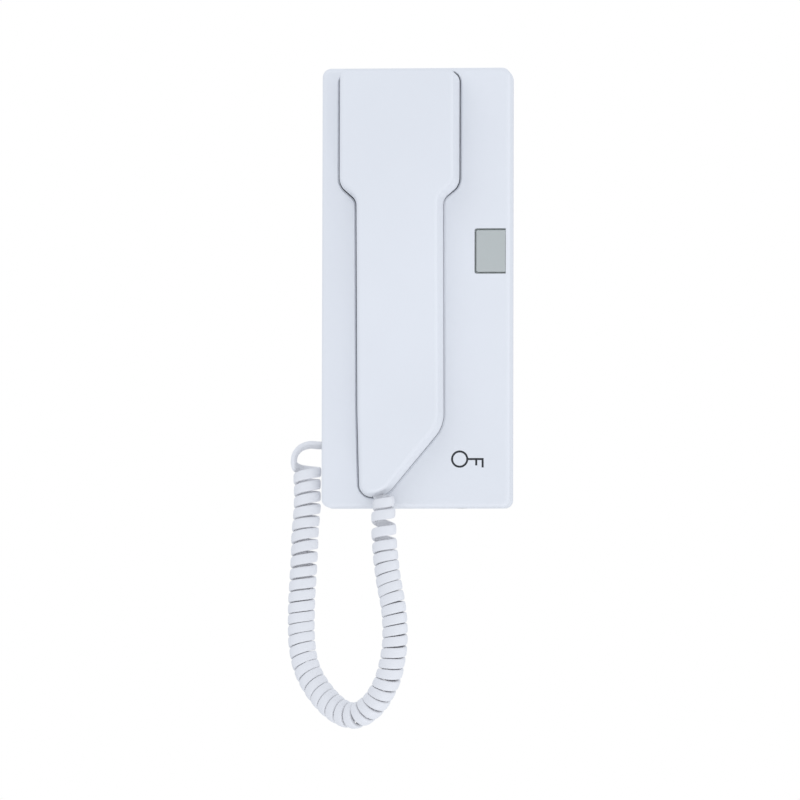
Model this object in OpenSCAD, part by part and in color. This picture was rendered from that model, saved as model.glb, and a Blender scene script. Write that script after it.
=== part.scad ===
// Slimline wall handset: a wall base with a handset lying in its recess, a door
// release button, a gravity hook switch and a curly cord.
// Modelled as x right, y up, z out of the wall, then turned so that the wall is
// the plane y = 0, +Z is up and the front faces -Y. Millimetres.

/* [Base] */
// Width of the base
base_w = 94.5; // [92:0.5:100]
// Height of the base
base_h = 220; // [216:1:226]
// Depth of the base from the wall to its front face
base_d = 26; // [26:0.5:27]
// Radius of the base's corners seen from the front
base_corner_r = 4.4; // [4:0.1:8]
// Radius of the edge round the front face
base_edge_r = 2.4; // [1:0.1:2.5]
// Thickness of the moulded walls
wall = 2.2; // [1.8:0.1:2.4]
// Depth of the rear housing, where the front cover starts
tray_d = 8; // [7:0.5:8]

/* [Handset] */
// Width of the handset's head
head_w = 60; // [58:0.5:61]
// Width of the handset's grip
grip_w = 43.6; // [40:0.1:44]
// Height of the head's lower edge above the base's middle
shoulder_y = 51; // [49:0.5:53]
// Distance of the handset's front from the wall at its top end
handset_top_d = 44; // [43:0.5:46]
// Distance of the handset's front from the wall at its lower end
handset_tip_d = 40; // [39.5:0.5:42]
// Radius of the edge round the handset's front
handset_edge_r = 2; // [1:0.1:2.5]
// Width of the groove round the handset, in the front face
recess_gap = 1.1; // [1:0.1:1.3]
// How much narrower the groove is at the grip's right side and at the handset's lower end
recess_close = 0.55; // [0:0.05:0.6]
// Depth of the groove round the handset
recess_groove = 1.6; // [1:0.1:1.8]
// Clearance between the handset and the sides of its recess, below the groove
recess_fit = 0.35; // [0.3:0.05:0.4]
// Depth of the recess below the front face
recess_depth = 12; // [12:0.5:12.5]
// Tilt of the cradle hook and of the lift-off direction, from the wall's normal
hook_tilt = 4; // [2:0.5:4.5]

/* [Door button] */
// Width of the door button
button_w = 14.55; // [13:0.05:15]
// Height of the door button
button_h = 20.9; // [18:0.1:22]
// Height of the door button's centre above the base's middle
button_y = 18; // [16:0.5:20]
// Gap between the button and its window
button_gap = 0.7; // [0.4:0.05:0.8]

/* [Wall fixing] */
// Spacing of the wall screws across the base
wall_screw_dx = 60; // [56:1:62]
// Spacing of the wall screws up the base
wall_screw_dy = 180; // [176:1:182]
// Radius of the wall screw holes
wall_screw_r = 2.2; // [1.8:0.1:2.5]

/* [Cord] */
// Outer radius of the curly part
coil_r = 6.9; // [6:0.1:7]
// Width of the flat cord
cord_w = 5; // [4:0.1:5]
// Thickness of the flat cord
cord_t = 2.4; // [2:0.1:2.6]

/* [Hidden] */
$fn = 48;
eps = 0.01;

// The handset's outline at the front face of the base: [x, y, corner radius],
// down the left side, round the tip and up the right side.
head_left = -base_w / 2 + 9.05;
head_right = head_left + head_w;
grip_left = head_left + 8.7;
grip_right = grip_left + grip_w;
handset_top_y = base_h / 2 - 2.5;
handset_tip_y = -base_h / 2 + 5;
handset_outline = [
    [head_left, handset_top_y, 4.5],
    [head_left, shoulder_y, 8],
    [grip_left, shoulder_y - 7.4, 6],
    [grip_left + 1.4, handset_tip_y, 6.5],
    [grip_left + 14.4, handset_tip_y, 12.5],
    [grip_right, handset_tip_y + 35.4, 18],
    [grip_right, shoulder_y - 6.9, 6],
    [head_right, shoulder_y, 8],
    [head_right, handset_top_y, 4.5]
];
groove_outline = [
    for (v = handset_outline) [
        v.x == grip_right ? v.x - recess_close : v.x,
        v.y == handset_tip_y ? v.y + recess_close : v.y,
        v[2]
    ]
];
// The handset slides up a little as it comes out, so the recess is wider at its top
recess_top_extra = 0.65;
recess_outline = [
    for (v = handset_outline) [v.x, v.y == handset_top_y ? v.y + recess_top_extra : v.y, v[2]]
];
base_corners = [
    for (c = [[-1, 1], [-1, -1], [1, -1], [1, 1]]) [c.x * base_w / 2, c.y * base_h / 2, base_corner_r]
];
arc_steps = 6;
grip_x = (grip_left + grip_right) / 2;
head_x = (head_left + head_right) / 2;

// Levels above the wall
recess_z = base_d - recess_depth;
recess_under_z = recess_z - wall;
handset_rear_z = recess_z + 0.8;
seam_z = base_d + 1.5;
handset_draft = 1.6;
// the top end leans back less than the sides
handset_top_rise = 2;

// Board
board_x0 = -43;
board_x1 = 43;
board_y0 = -48;
board_y1 = 58;
board_z = 3.6;
board_t = 1.6;
board_top = board_z + board_t;
board_screw_at = [[-39, -43.5], [38.5, -43.5], [-39, 53.5], [26, 53.5]];

// Hook switch under the recess
hook_xy = [grip_x, 22];
hook_travel = 3;
hook_switch_top = 11;
hook_rod_r = 2;
hook_cap_r = 4;
hook_flange_r = 5.2;
hook_flange_z = recess_under_z - hook_travel - 0.8;
hook_cap_top = handset_rear_z - 0.1;
cradle_y = 47;
cradle_w = 18;
cradle_t = 3;
cradle_len = 8;

// Door button and its switch
button_x1 = base_w / 2 - base_edge_r;
button_x0 = button_x1 - button_w;
button_x = (button_x0 + button_x1) / 2;
button_top = base_d + 0.2;
flange_z = base_d - wall - 1.8;
door_switch_top = 11;
button_travel = 2;
door_plunger_top = door_switch_top + button_travel + 0.4;

// Ends of the cord
base_exit = [-base_w / 2, -78.5, 13];
base_jack_x1 = -33;
base_jack_x0 = -base_w / 2 + wall + 0.4;
handset_exit_x = -18.5;
handset_exit_z = 29.2;
handset_jack_y0 = -96;
handset_jack_y1 = -84;
plug_w = 7.65;
plug_t = 6.6;

// Cord route. The coil hangs in one upright plane that leans out of the wall.
function coil_depth(x) = 13 + (x + 57) / 2;
coil_route = [
    [-55.5, -89], [-55.5, -100], [-55.5, -111], [-56.5, -121], [-57, -136],
    [-58, -151], [-58.5, -166], [-58, -178.5], [-56, -188.5], [-52, -197],
    [-45, -206], [-37.5, -212], [-30, -214], [-24, -211.5], [-18.5, -206.5],
    [-13, -197], [-10.5, -188], [-9, -178.5], [-9, -168.5], [-10, -158.5],
    [-12, -149], [-13.5, -139], [-14.5, -129], [-15, -119], [-15, -108]
];
base_lead_route = [
    [-48, -78.5, 13], [-50, -78.5, 13], [-54.5, -78, 13], [-59, -80, 13],
    [-61, -83.5, 13], [-61, -89, 13]
];
handset_lead_route = [
    [-18.5, -99.5, 29.2], [-18.5, -102, 29.2], [-18.5, -105, 29.2], [-18, -106.5, 30.3],
    [-17.5, -107.5, 31], [-17.5, -108, 31]
];

// Receiver, microphone and ballast
receiver_xy = [head_x, 78];
receiver_r = 17;
mic_xy = [-13, -80];
mic_r = 4.85;
handset_screw_y = [5, -62];
mic_top = handset_rear_z + wall + 7.5;
receiver_top = handset_rear_z + wall + 9.6;
weight_top = 34.5;
wire_r = 0.5;

// ---- Helpers ----

function unit(v) = v / norm(v);
function xy(v) = [v.x, v.y];
function turned(v, a) = [v.x * cos(a) - v.y * sin(a), v.x * sin(a) + v.y * cos(a)];

// Points of a closed outline with rounded corners, moved outwards by `off`
function rounded(path, off) = [
    for (i = [0:len(path) - 1])
        let (
            before = xy(path[(i + len(path) - 1) % len(path)]),
            corner = xy(path[i]),
            after = xy(path[(i + 1) % len(path)]),
            d1 = unit(corner - before),
            d2 = unit(after - corner),
            n1 = [d1.y, -d1.x],
            n2 = [d2.y, -d2.x],
            turn = atan2(cross(d1, d2), d1 * d2),
            side = sign(turn),
            r = path[i][2] + side * off,
            moved = corner + off * (n1 + n2) / (1 + n1 * n2),
            centre = moved - d1 * r * tan(abs(turn) / 2) - side * r * n1
        )
        for (k = [0:arc_steps]) centre + side * r * turned(n1, turn * k / arc_steps)
];

// Distance of the handset's front from the wall at height y
function front_z(y) =
    handset_tip_d + (handset_top_d - handset_tip_d) * (y - handset_tip_y) / (handset_top_y - handset_tip_y);

// Solid through rings of a rounded outline. A ring is [inset, z, share of the front's slope,
// rise of the handset's top end]. Every point of the outline is seen from `centre`.
module loft(path, rings, centre) {
    n = len(rounded(path, 0));
    last = len(rings) - 1;
    function ring_z(ring, y) = ring[1] + ring[2] * (front_z(y) - handset_tip_d);
    function ring_y(ring, y) = y > receiver_xy.y ? y + ring[3] : y;
    points = [
        for (ring = rings)
            for (p = rounded(path, -ring[0])) [p.x, ring_y(ring, p.y), ring_z(ring, p.y)]
    ];
    ends = [
        [centre.x, centre.y, ring_z(rings[0], centre.y)],
        [centre.x, centre.y, ring_z(rings[last], centre.y)]
    ];
    sides = [
        for (j = [0:last - 1])
            for (i = [0:n - 1])
                let (k = (i + 1) % n) each [
                    [j * n + i, (j + 1) * n + i, (j + 1) * n + k],
                    [j * n + i, (j + 1) * n + k, j * n + k]
                ]
    ];
    bottom = [for (i = [0:n - 1]) [n * len(rings), i, (i + 1) % n]];
    top = [for (i = [0:n - 1]) [n * len(rings) + 1, last * n + (i + 1) % n, last * n + i]];
    polyhedron(points = concat(points, ends), faces = concat(sides, bottom, top), convexity = 8);
}

module handset_loft(rings) {
    loft(handset_outline, rings, [grip_x, shoulder_y - 8]);
}

// Rectangle with round corners, exact arcs
module rounded_rect(w, h, r) {
    square([w - 2 * r, h], center = true);
    square([w, h - 2 * r], center = true);
    for (sx = [-1, 1], sy = [-1, 1]) translate([sx * (w / 2 - r), sy * (h / 2 - r)]) circle(r);
}

// Outline of the base, inset by `inset`
module base_outline(inset) {
    rounded_rect(base_w - 2 * inset, base_h - 2 * inset, max(0.5, base_corner_r - inset));
}

module slab(z0, z1) {
    translate([0, 0, z0]) linear_extrude(z1 - z0) children();
}

module box(low, high) {
    translate(low) cube(high - low);
}

// The finished part stands on the wall plane y = 0
module on_wall() {
    rotate([90, 0, 0]) children();
}

function tangent(route, i) =
    unit(route[min(i + 1, len(route) - 1)] - route[max(i - 1, 0)]);

// Tube with an oval section swept along a route. `across` stays close to the section's wide side.
module swept(route, half_across, half_other, across, sides) {
    rings = len(route);
    points = [
        for (i = [0:rings - 1])
            let (
                t = tangent(route, i),
                u = unit(cross(t, across)),
                v = cross(u, t)
            )
            for (s = [0:sides - 1])
                route[i] + half_other * cos(360 * s / sides) * u + half_across * sin(360 * s / sides) * v
    ];
    walls = [
        for (i = [0:rings - 2])
            for (s = [0:sides - 1])
                let (n = (s + 1) % sides) each [
                    [i * sides + s, (i + 1) * sides + s, (i + 1) * sides + n],
                    [i * sides + s, (i + 1) * sides + n, i * sides + n]
                ]
    ];
    first = [[for (s = [0:sides - 1]) s]];
    last = [[for (s = [sides - 1:-1:0]) (rings - 1) * sides + s]];
    polyhedron(points = points, faces = concat(first, walls, last), convexity = 8);
}

// Coil spring along z, standing at `at`
module coil_spring(at, z0, z1, r, wire, turns) {
    steps = 12 * turns;
    route = [
        for (i = [0:steps])
            [at.x + r * cos(30 * i), at.y + r * sin(30 * i), z0 + wire + (z1 - z0 - 2 * wire) * i / steps]
    ];
    swept(route, wire, wire, [0, 0, 1], 6);
}

module screw(head_r, head_t, shank_r, shank_len) {
    difference() {
        cylinder(h = head_t, r = head_r);
        for (a = [0, 90]) rotate([0, 0, a])
            box([-head_r * 0.6, -0.3, head_t * 0.5], [head_r * 0.6, 0.3, head_t + 1]);
    }
    translate([0, 0, -shank_len]) cylinder(h = shank_len + eps, r = shank_r);
}

// ---- Base ----

module rear_housing() color("gainsboro") on_wall() difference() {
    union() {
        difference() {
            slab(0, tray_d) base_outline(0.4);
            slab(wall, tray_d + 1) base_outline(2.4);
        }
        // lip inside the front cover
        difference() {
            slab(wall, tray_d + 1.5) base_outline(2.4);
            slab(wall, tray_d + 2) base_outline(3.8);
            // room for the cord's socket and for the cover's latches
            box([-base_w / 2, base_exit.y - 6, wall], [-base_w / 2 + 6, base_exit.y + 6, tray_d + 3]);
            for (x = [grip_x, 33]) box([x - 6, base_h / 2 - 6, 3], [x + 6, base_h / 2 - 2, tray_d + 3]);
        }
        for (p = board_screw_at) translate([p.x, p.y, wall - eps]) cylinder(h = board_z - wall + eps, r = 3);
        for (sx = [-1, 1], sy = [-1, 1])
            translate([sx * wall_screw_dx / 2, sy * wall_screw_dy / 2, wall - eps]) cylinder(h = 0.8, r = 5);
        // lug for the cover screw
        box([17, -base_h / 2 + 2.8, wall - eps], [27, -base_h / 2 + 11, tray_d + 7]);
    }
    for (p = board_screw_at) translate([p.x, p.y, 0.7]) cylinder(h = board_z, r = 1.25);
    for (sx = [-1, 1], sy = [-1, 1])
        translate([sx * wall_screw_dx / 2, sy * wall_screw_dy / 2, -1]) cylinder(h = 5, r = wall_screw_r);
    translate([22, -base_h / 2 - 1, tray_d + 4]) rotate([-90, 0, 0]) cylinder(h = 10.5, r = 1.25);
    // entry for the building's cable
    slab(-1, wall + 1) translate([4, 73]) rounded_rect(26, 18, 3);
    // windows for the cover's latches
    for (x = [grip_x, 33]) box([x - 5.6, base_h / 2 - 3, 3.8], [x + 5.6, base_h / 2 + 1, 5.6]);
}

module cover_outer() {
    steps = 5;
    rim = [
        for (k = [0:steps]) let (a = 90 * k / steps)
            [base_edge_r * (1 - cos(a)), base_d - base_edge_r * (1 - sin(a)), 0, 0]
    ];
    loft(base_corners, concat([[0, tray_d, 0, 0]], rim), [0, 0]);
}

module latch(x) {
    box([x - 5, base_h / 2 - 4.1, 3.9], [x + 5, base_h / 2 - 2.6, recess_under_z + 1]);
    box([x - 5, base_h / 2 - 4.1, tray_d + 1.8], [x + 5, base_h / 2 - 1, recess_under_z + 1]);
    box([x - 5, base_h / 2 - 3, 4], [x + 5, base_h / 2 - 1.4, 5.4]);
}

module front_cover() color("white") on_wall() difference() {
    union() {
        difference() {
            cover_outer();
            slab(tray_d - 1, base_d - wall) base_outline(wall);
        }
        intersection() {
            slab(recess_under_z, base_d - 0.5) polygon(rounded(recess_outline, recess_fit + wall));
            slab(recess_under_z, base_d) base_outline(0.5);
        }
        latch(grip_x);
        latch(33);
    }
    slab(recess_z, base_d + 1) polygon(rounded(recess_outline, recess_fit));
    slab(base_d - recess_groove, base_d + 1) polygon(rounded(groove_outline, recess_gap));
    translate([hook_xy.x, hook_xy.y, recess_under_z - 1]) cylinder(h = 6, r = hook_cap_r + 0.2);
    // window for the door button
    box(
        [button_x0 - button_gap, button_y - button_h / 2 - button_gap, base_d - wall - 1],
        [button_x1 + 0.2, button_y + button_h / 2 + button_gap, base_d + 1]);
    // opening for the cord's plug
    box(
        [-base_w / 2 - 1, base_exit.y - 4.1, base_exit.z - 3.6],
        [-base_w / 2 + 3, base_exit.y + 4.1, base_exit.z + 3.6]);
    // sound slots beside the buzzer
    for (k = [0:4]) box([-base_w / 2 - 1, -28 + 4 * k, 11], [-base_w / 2 + 3, -26.4 + 4 * k, 20]);
    // cover screw
    translate([22, -base_h / 2 - 1, tray_d + 4]) rotate([-90, 0, 0]) cylinder(h = 4, r = 1.6);
    translate([22, -base_h / 2 - 1, tray_d + 4]) rotate([-90, 0, 0]) cylinder(h = 2.3, r = 3);
}

// Tongue on the recess floor that the handset hangs on
module cradle_hook() color("white") on_wall() difference() {
    translate([head_x, cradle_y, recess_z]) rotate([-hook_tilt, 0, 0])
        box([-cradle_w / 2, -cradle_t / 2, -2], [cradle_w / 2, cradle_t / 2, cradle_len]);
    box([-base_w, 0, 0], [base_w, base_h, recess_z]);
}

module cover_screw() color("silver") on_wall()
    translate([22, -base_h / 2 + 1.25, tray_d + 4]) rotate([90, 0, 0]) screw(2.8, 1.2, 1.2, 8);

module main_board() color("darkgreen") on_wall() difference() {
    box([board_x0, board_y0, board_z], [board_x1, board_y1, board_top]);
    for (p = board_screw_at) translate([p.x, p.y, board_z - 1]) cylinder(h = 4, r = 1.5);
}

module board_screws() color("silver") on_wall()
    for (p = board_screw_at) translate([p.x, p.y, board_top]) screw(2.4, 1.5, 1.2, 4.2);

terminal_x0 = 31.5;
terminal_y0 = 32;
terminal_pitch = 5;
terminal_count = 5;

module terminal_block() color("seagreen") on_wall() difference() {
    terminal_y1 = terminal_y0 + terminal_pitch * terminal_count;
    box([terminal_x0, terminal_y0, board_top], [terminal_x0 + 10, terminal_y1, 15.2]);
    for (k = [0:terminal_count - 1]) let (y = terminal_y0 + terminal_pitch * (k + 0.5)) {
        translate([terminal_x0 + 6.5, y, board_top + 3]) cylinder(h = 10, r = 1.9);
        box([terminal_x0 - 1, y - 1.6, board_top + 1.5], [terminal_x0 + 4, y + 1.6, board_top + 5]);
    }
}

module terminal_screws() color("silver") on_wall()
    for (k = [0:terminal_count - 1])
        translate([terminal_x0 + 6.5, terminal_y0 + terminal_pitch * (k + 0.5), 12.6]) screw(1.8, 1.4, 1.2, 4);

module hook_switch() color("dimgray") on_wall() difference() {
    translate([hook_xy.x, hook_xy.y, 0]) box([-7, -7, board_top], [7, 7, hook_switch_top]);
    translate([hook_xy.x, hook_xy.y, board_top + 0.6]) cylinder(h = 10, r = hook_flange_r + 0.4);
}

// Pin with a flange that stops it under the recess floor
module hook_plunger() color("ivory") on_wall() translate([hook_xy.x, hook_xy.y, 0]) {
    translate([0, 0, board_top + 1]) cylinder(h = hook_flange_z - board_top, r = hook_rod_r);
    translate([0, 0, hook_flange_z]) cylinder(h = 0.8, r = hook_flange_r);
    translate([0, 0, hook_flange_z]) cylinder(h = hook_cap_top - hook_flange_z, r = hook_cap_r);
}

module hook_spring() color("silver") on_wall()
    coil_spring(hook_xy, board_top + 0.65, hook_flange_z - 0.05, 3.1, 0.25, 2.5);

module door_switch() color("dimgray") on_wall() difference() {
    translate([button_x, button_y, 0]) box([-5.6, -5.6, board_top], [5.6, 5.6, door_switch_top]);
    translate([button_x, button_y, board_top + 0.6]) cylinder(h = 10, r = 1.86);
}

module door_switch_plunger() color("black") on_wall()
    translate([button_x, button_y, door_plunger_top - 5.2]) cylinder(h = 5.2, r = 1.8);

module button_spring() color("silver") on_wall()
    coil_spring([button_x, button_y], door_switch_top + 0.05, flange_z - 0.05, 3.6, 0.35, 6);

module door_button() color("darkgray") on_wall() {
    slab(flange_z, button_top) translate([button_x, button_y]) rounded_rect(button_w, button_h, 1.4);
    box(
        [button_x0 - 1.6, button_y - button_h / 2 - 1.6, flange_z],
        [button_x1, button_y + button_h / 2 + 1.6, flange_z + 1.6]);
    translate([button_x, button_y, door_plunger_top]) cylinder(h = flange_z - door_plunger_top + 0.1, r = 2.5);
}

module call_buzzer() color("black") on_wall() translate([-38.1, -19.2, board_top]) difference() {
    cylinder(h = 9.5, r = 5.1);
    translate([0, 0, 8.5]) cylinder(h = 2, r = 1);
}

module capacitors() color("navy") on_wall() {
    translate([28, -20, board_top]) cylinder(h = 12, r = 4);
    translate([38, -20, board_top]) cylinder(h = 12, r = 4);
    translate([33, -34, board_top]) cylinder(h = 16, r = 5);
}

module resistors() color("tan") on_wall()
    for (k = [0:5]) translate([6, 34 - 4 * k, board_top + 1.2]) rotate([0, 90, 0]) cylinder(h = 6.5, r = 1.15);

module speech_chip() color("black") on_wall() difference() {
    union() {
        box([-4, -14, board_top + 0.6], [2.4, -4.2, board_top + 3.9]);
        for (k = [0:3], x = [-4.9, 2.3])
            box([x, -13.3 + 2.54 * k, board_top], [x + 1, -12.8 + 2.54 * k, board_top + 2]);
    }
    translate([-0.8, -4.2, board_top + 3.4]) cylinder(h = 2, r = 0.9);
}

module base_jack() color("black") on_wall() difference() {
    box([base_jack_x0, base_exit.y - 5.4, wall], [base_jack_x1, base_exit.y + 5.4, base_exit.z + 5]);
    box([base_jack_x0 - 1, base_exit.y - plug_w / 2 - 0.1, base_exit.z - plug_t / 2 - 0.1],
        [base_jack_x1 - 2, base_exit.y + plug_w / 2 + 0.1, base_exit.z + plug_t / 2 + 0.1]);
}

module base_plug() color("whitesmoke") on_wall()
    box([-base_w / 2 - 0.75, base_exit.y - plug_w / 2, base_exit.z - plug_t / 2],
        [base_jack_x1 - 2.5, base_exit.y + plug_w / 2, base_exit.z + plug_t / 2]);

// Four wires from the cord's socket to the board
module jack_wires() color("goldenrod") on_wall()
    for (k = [0:3]) let (y = base_exit.y - 3 + 2 * k, x = -24 - 2 * k)
        swept([
            [base_jack_x1, y, 8], [base_jack_x1 + 2, y, 8], [x - 1, y + 4, 8], [x, y + 9, 8],
            [x, -49, 8], [x, -46.5, 7.6], [x, -45.5, 6.6], [x, -45.5, board_top]
        ], wire_r, wire_r, [1, 0, 1], 6);

// ---- Cord ----

module cord_lead_base() color("white") on_wall()
    swept(base_lead_route, cord_w / 2, cord_t / 2, [0, 0, 1], 8);

module cord_coil() color("white") on_wall()
    swept([for (p = coil_route) [p.x, p.y, coil_depth(p.x)]], coil_r, coil_r, [-0.5, 0, 1], 12);

module cord_lead_handset() color("white") on_wall()
    swept(handset_lead_route, cord_w / 2, cord_t / 2, [1, 0, 0], 8);

// ---- Handset ----

module handset_plug() color("whitesmoke") on_wall()
    box([handset_exit_x - plug_w / 2, handset_lead_route[0].y, handset_exit_z - plug_t / 2],
        [handset_exit_x + plug_w / 2, handset_jack_y1 - 4, handset_exit_z + plug_t / 2]);

module handset_jack() color("black") on_wall() difference() {
    box([handset_exit_x - 4.5, handset_jack_y0, handset_exit_z - 4.2],
        [handset_exit_x + 4.5, handset_jack_y1, handset_exit_z + 4.2]);
    box([handset_exit_x - plug_w / 2 - 0.1, handset_jack_y0 - 1, handset_exit_z - plug_t / 2 - 0.1],
        [handset_exit_x + plug_w / 2 + 0.1, handset_jack_y1 - 3.9, handset_exit_z + plug_t / 2 + 0.1]);
}

module handset_front_shell() color("white") on_wall() difference() {
    steps = 4;
    rim = [
        for (k = [0:steps]) let (a = 90 * k / steps) [
            handset_draft + handset_edge_r * (1 - cos(a)),
            handset_tip_d - handset_edge_r * (1 - sin(a)),
            1,
            handset_top_rise
        ]
    ];
    union() {
        difference() {
            handset_loft(concat([[0, seam_z, 0, 0]], rim));
            handset_loft([
                [wall, seam_z - 1, 0, 0],
                [wall + handset_draft, handset_tip_d - wall, 1, handset_top_rise]
            ]);
        }
        for (y = handset_screw_y) translate([grip_x, y, seam_z]) cylinder(h = front_z(y) - seam_z - 1, r = 3.6);
        // ribs that press on the cord's socket and on the weight
        for (y = [handset_jack_y0 + 1, handset_jack_y1 - 2])
            box([handset_exit_x - 3.5, y, handset_exit_z + 4.2], [handset_exit_x + 3.5, y + 1, front_z(y) - 1]);
        for (y = [-50, -10]) box([grip_x - 8, y, weight_top], [grip_x + 8, y + 1.2, front_z(y) - 1]);
    }
    for (y = handset_screw_y) translate([grip_x, y, seam_z - 1]) cylinder(h = 9.5, r = 1.25);
    // slot for the cord
    box(
        [handset_exit_x - cord_w / 2 - 0.3, -110, seam_z - 1],
        [handset_exit_x + cord_w / 2 + 0.3, handset_lead_route[0].y - 0.5, handset_exit_z + cord_t / 2 + 0.3]);
}

// Slots through the rear wall over a round area
module sound_slots(at, r, count) {
    pitch = 2 * r / count;
    for (k = [0:count - 1]) let (x = -r + pitch * (k + 0.5), half = sqrt(r * r - x * x) - 0.8)
        box(
            [at.x + x - 0.8, at.y - half, handset_rear_z - 1],
            [at.x + x + 0.8, at.y + half, handset_rear_z + wall + 0.5]);
}

module handset_rear_shell() color("white") on_wall() difference() {
    steps = 4;
    rim = [
        for (k = [0:steps]) let (a = 90 * k / steps)
            [0.3 + handset_edge_r * (1 - sin(a)), handset_rear_z + handset_edge_r * (1 - cos(a)), 0, 0]
    ];
    union() {
        difference() {
            handset_loft(concat(rim, [[0, seam_z, 0, 0]]));
            handset_loft([[wall + 0.3, handset_rear_z + wall, 0, 0], [wall, seam_z + 1, 0, 0]]);
        }
        for (y = handset_screw_y)
            translate([grip_x, y, handset_rear_z + 1]) cylinder(h = seam_z - handset_rear_z - 1, r = 4.2);
        // cup that holds the receiver
        translate([receiver_xy.x, receiver_xy.y, handset_rear_z + 1]) difference() {
            cylinder(h = 9, r = receiver_r + 1.8);
            translate([0, 0, -1]) cylinder(h = 12, r = receiver_r + 0.3);
        }
    }
    for (y = handset_screw_y) {
        translate([grip_x, y, handset_rear_z - 1]) cylinder(h = 20, r = 1.6);
        translate([grip_x, y, handset_rear_z - 1]) cylinder(h = 3.8, r = 3.1);
    }
    sound_slots(receiver_xy, 11, 7);
    sound_slots(mic_xy, 4, 3);
    // slot that fits over the cradle hook
    translate([head_x, cradle_y, recess_z]) rotate([-hook_tilt, 0, 0])
        box([-cradle_w / 2 - 0.45, -cradle_t / 2 - 0.45, -3], [cradle_w / 2 + 0.45, cradle_t / 2 + 0.45, 9]);
}

module receiver_gasket() color("black") on_wall()
    translate([receiver_xy.x, receiver_xy.y, handset_rear_z + wall]) difference() {
        cylinder(h = 1.6, r = receiver_r);
        translate([0, 0, -1]) cylinder(h = 4, r = 12);
    }

module receiver_capsule() color("dimgray") on_wall()
    translate([receiver_xy.x, receiver_xy.y, handset_rear_z + wall + 1.6]) {
        difference() {
            cylinder(h = 4, r = receiver_r);
            translate([0, 0, -1]) cylinder(h = 1.8, r = 14);
        }
        translate([0, 0, 4 - eps]) cylinder(h = 4 + eps, r = 9);
    }

module microphone_boot() color("black") on_wall() translate([mic_xy.x, mic_xy.y, handset_rear_z + wall])
    difference() {
        cylinder(h = 7, r = 7);
        translate([0, 0, 1]) cylinder(h = 8, r = mic_r + 0.02);
        translate([0, 0, -1]) cylinder(h = 4, r = 3);
    }

module microphone_capsule() color("silver") on_wall()
    translate([mic_xy.x, mic_xy.y, handset_rear_z + wall + 1]) cylinder(h = 6.5, r = mic_r);

module handset_weight() color("slategray") on_wall()
    box([grip_x - 9, -54, seam_z], [grip_x + 9, -4, weight_top]);

// Pairs of wires from the handset's socket to the microphone and the receiver
module handset_wires() color("firebrick") on_wall()
    for (k = [0:1]) {
        start_x = handset_exit_x - 2 * k;
        swept([
            [start_x + 3, handset_jack_y1, 32], [start_x + 3, handset_jack_y1 + 1.5, 32],
            [mic_xy.x + 1 - 2 * k, mic_xy.y + 0.5, 30], [mic_xy.x + 1 - 2 * k, mic_xy.y + 1, 27],
            [mic_xy.x + 1 - 2 * k, mic_xy.y + 1, mic_top]
        ], wire_r, wire_r, [1, 0, 0], 6);
        side_x = -21.5 - 2 * k;
        swept([
            [start_x - 1, handset_jack_y1, 32], [start_x - 1, handset_jack_y1 + 1.5, 32],
            [side_x, -77, 27], [side_x, -71, 22.5], [side_x, -40, 22], [side_x, 0, 22],
            [side_x, 38, 23], [side_x + 2, 50, 28], [side_x + 8, 64, 31],
            [side_x + 11, 72, 30.5], [side_x + 11, 75, 29], [side_x + 11, 75, receiver_top]
        ], wire_r, wire_r, [1, 0, 0], 6);
    }

module handset_screws() color("silver") on_wall()
    for (y = handset_screw_y)
        translate([grip_x, y, handset_rear_z + 2.7]) rotate([180, 0, 0]) screw(2.9, 2.2, 1.2, 17);

rear_housing();
front_cover();
cradle_hook();
cover_screw();
main_board();
board_screws();
terminal_block();
terminal_screws();
hook_switch();
hook_plunger();
hook_spring();
door_switch();
door_switch_plunger();
button_spring();
door_button();
call_buzzer();
capacitors();
resistors();
speech_chip();
base_jack();
jack_wires();
base_plug();
cord_lead_base();
cord_coil();
cord_lead_handset();
handset_plug();
handset_jack();
handset_wires();
handset_front_shell();
handset_rear_shell();
receiver_capsule();
receiver_gasket();
microphone_capsule();
microphone_boot();
handset_weight();
handset_screws();
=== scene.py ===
"""Looks of the slimline wall handset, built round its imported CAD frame.

Shapes are worked out in the part's own millimetres (x right, y up, z out of the wall) and
placed in the frame with world(), which is metres with +Z up and the front facing -Y.
"""

import math
from bisect import bisect_right

import bmesh
import bpy
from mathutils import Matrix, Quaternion, Vector, noise
from mathutils.geometry import tessellate_polygon

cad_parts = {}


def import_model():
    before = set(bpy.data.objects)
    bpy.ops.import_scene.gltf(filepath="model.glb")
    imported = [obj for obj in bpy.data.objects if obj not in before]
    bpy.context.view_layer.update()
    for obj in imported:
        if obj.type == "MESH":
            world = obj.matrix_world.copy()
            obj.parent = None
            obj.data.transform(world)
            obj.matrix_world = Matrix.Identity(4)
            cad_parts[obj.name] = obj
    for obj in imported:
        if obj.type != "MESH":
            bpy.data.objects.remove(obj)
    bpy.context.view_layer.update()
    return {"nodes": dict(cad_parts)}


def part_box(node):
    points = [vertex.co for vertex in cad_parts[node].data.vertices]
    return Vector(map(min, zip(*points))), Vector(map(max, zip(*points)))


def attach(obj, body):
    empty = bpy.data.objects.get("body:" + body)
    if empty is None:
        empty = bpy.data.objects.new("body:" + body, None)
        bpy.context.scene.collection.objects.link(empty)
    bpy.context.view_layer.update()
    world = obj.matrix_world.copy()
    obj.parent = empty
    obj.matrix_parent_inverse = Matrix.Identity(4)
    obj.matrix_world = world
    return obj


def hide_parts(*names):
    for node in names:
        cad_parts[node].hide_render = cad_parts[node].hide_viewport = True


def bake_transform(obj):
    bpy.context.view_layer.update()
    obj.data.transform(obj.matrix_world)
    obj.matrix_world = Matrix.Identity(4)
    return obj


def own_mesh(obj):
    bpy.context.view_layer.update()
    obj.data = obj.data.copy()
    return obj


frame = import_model()
scene = bpy.context.scene

MM = 0.001

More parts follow.
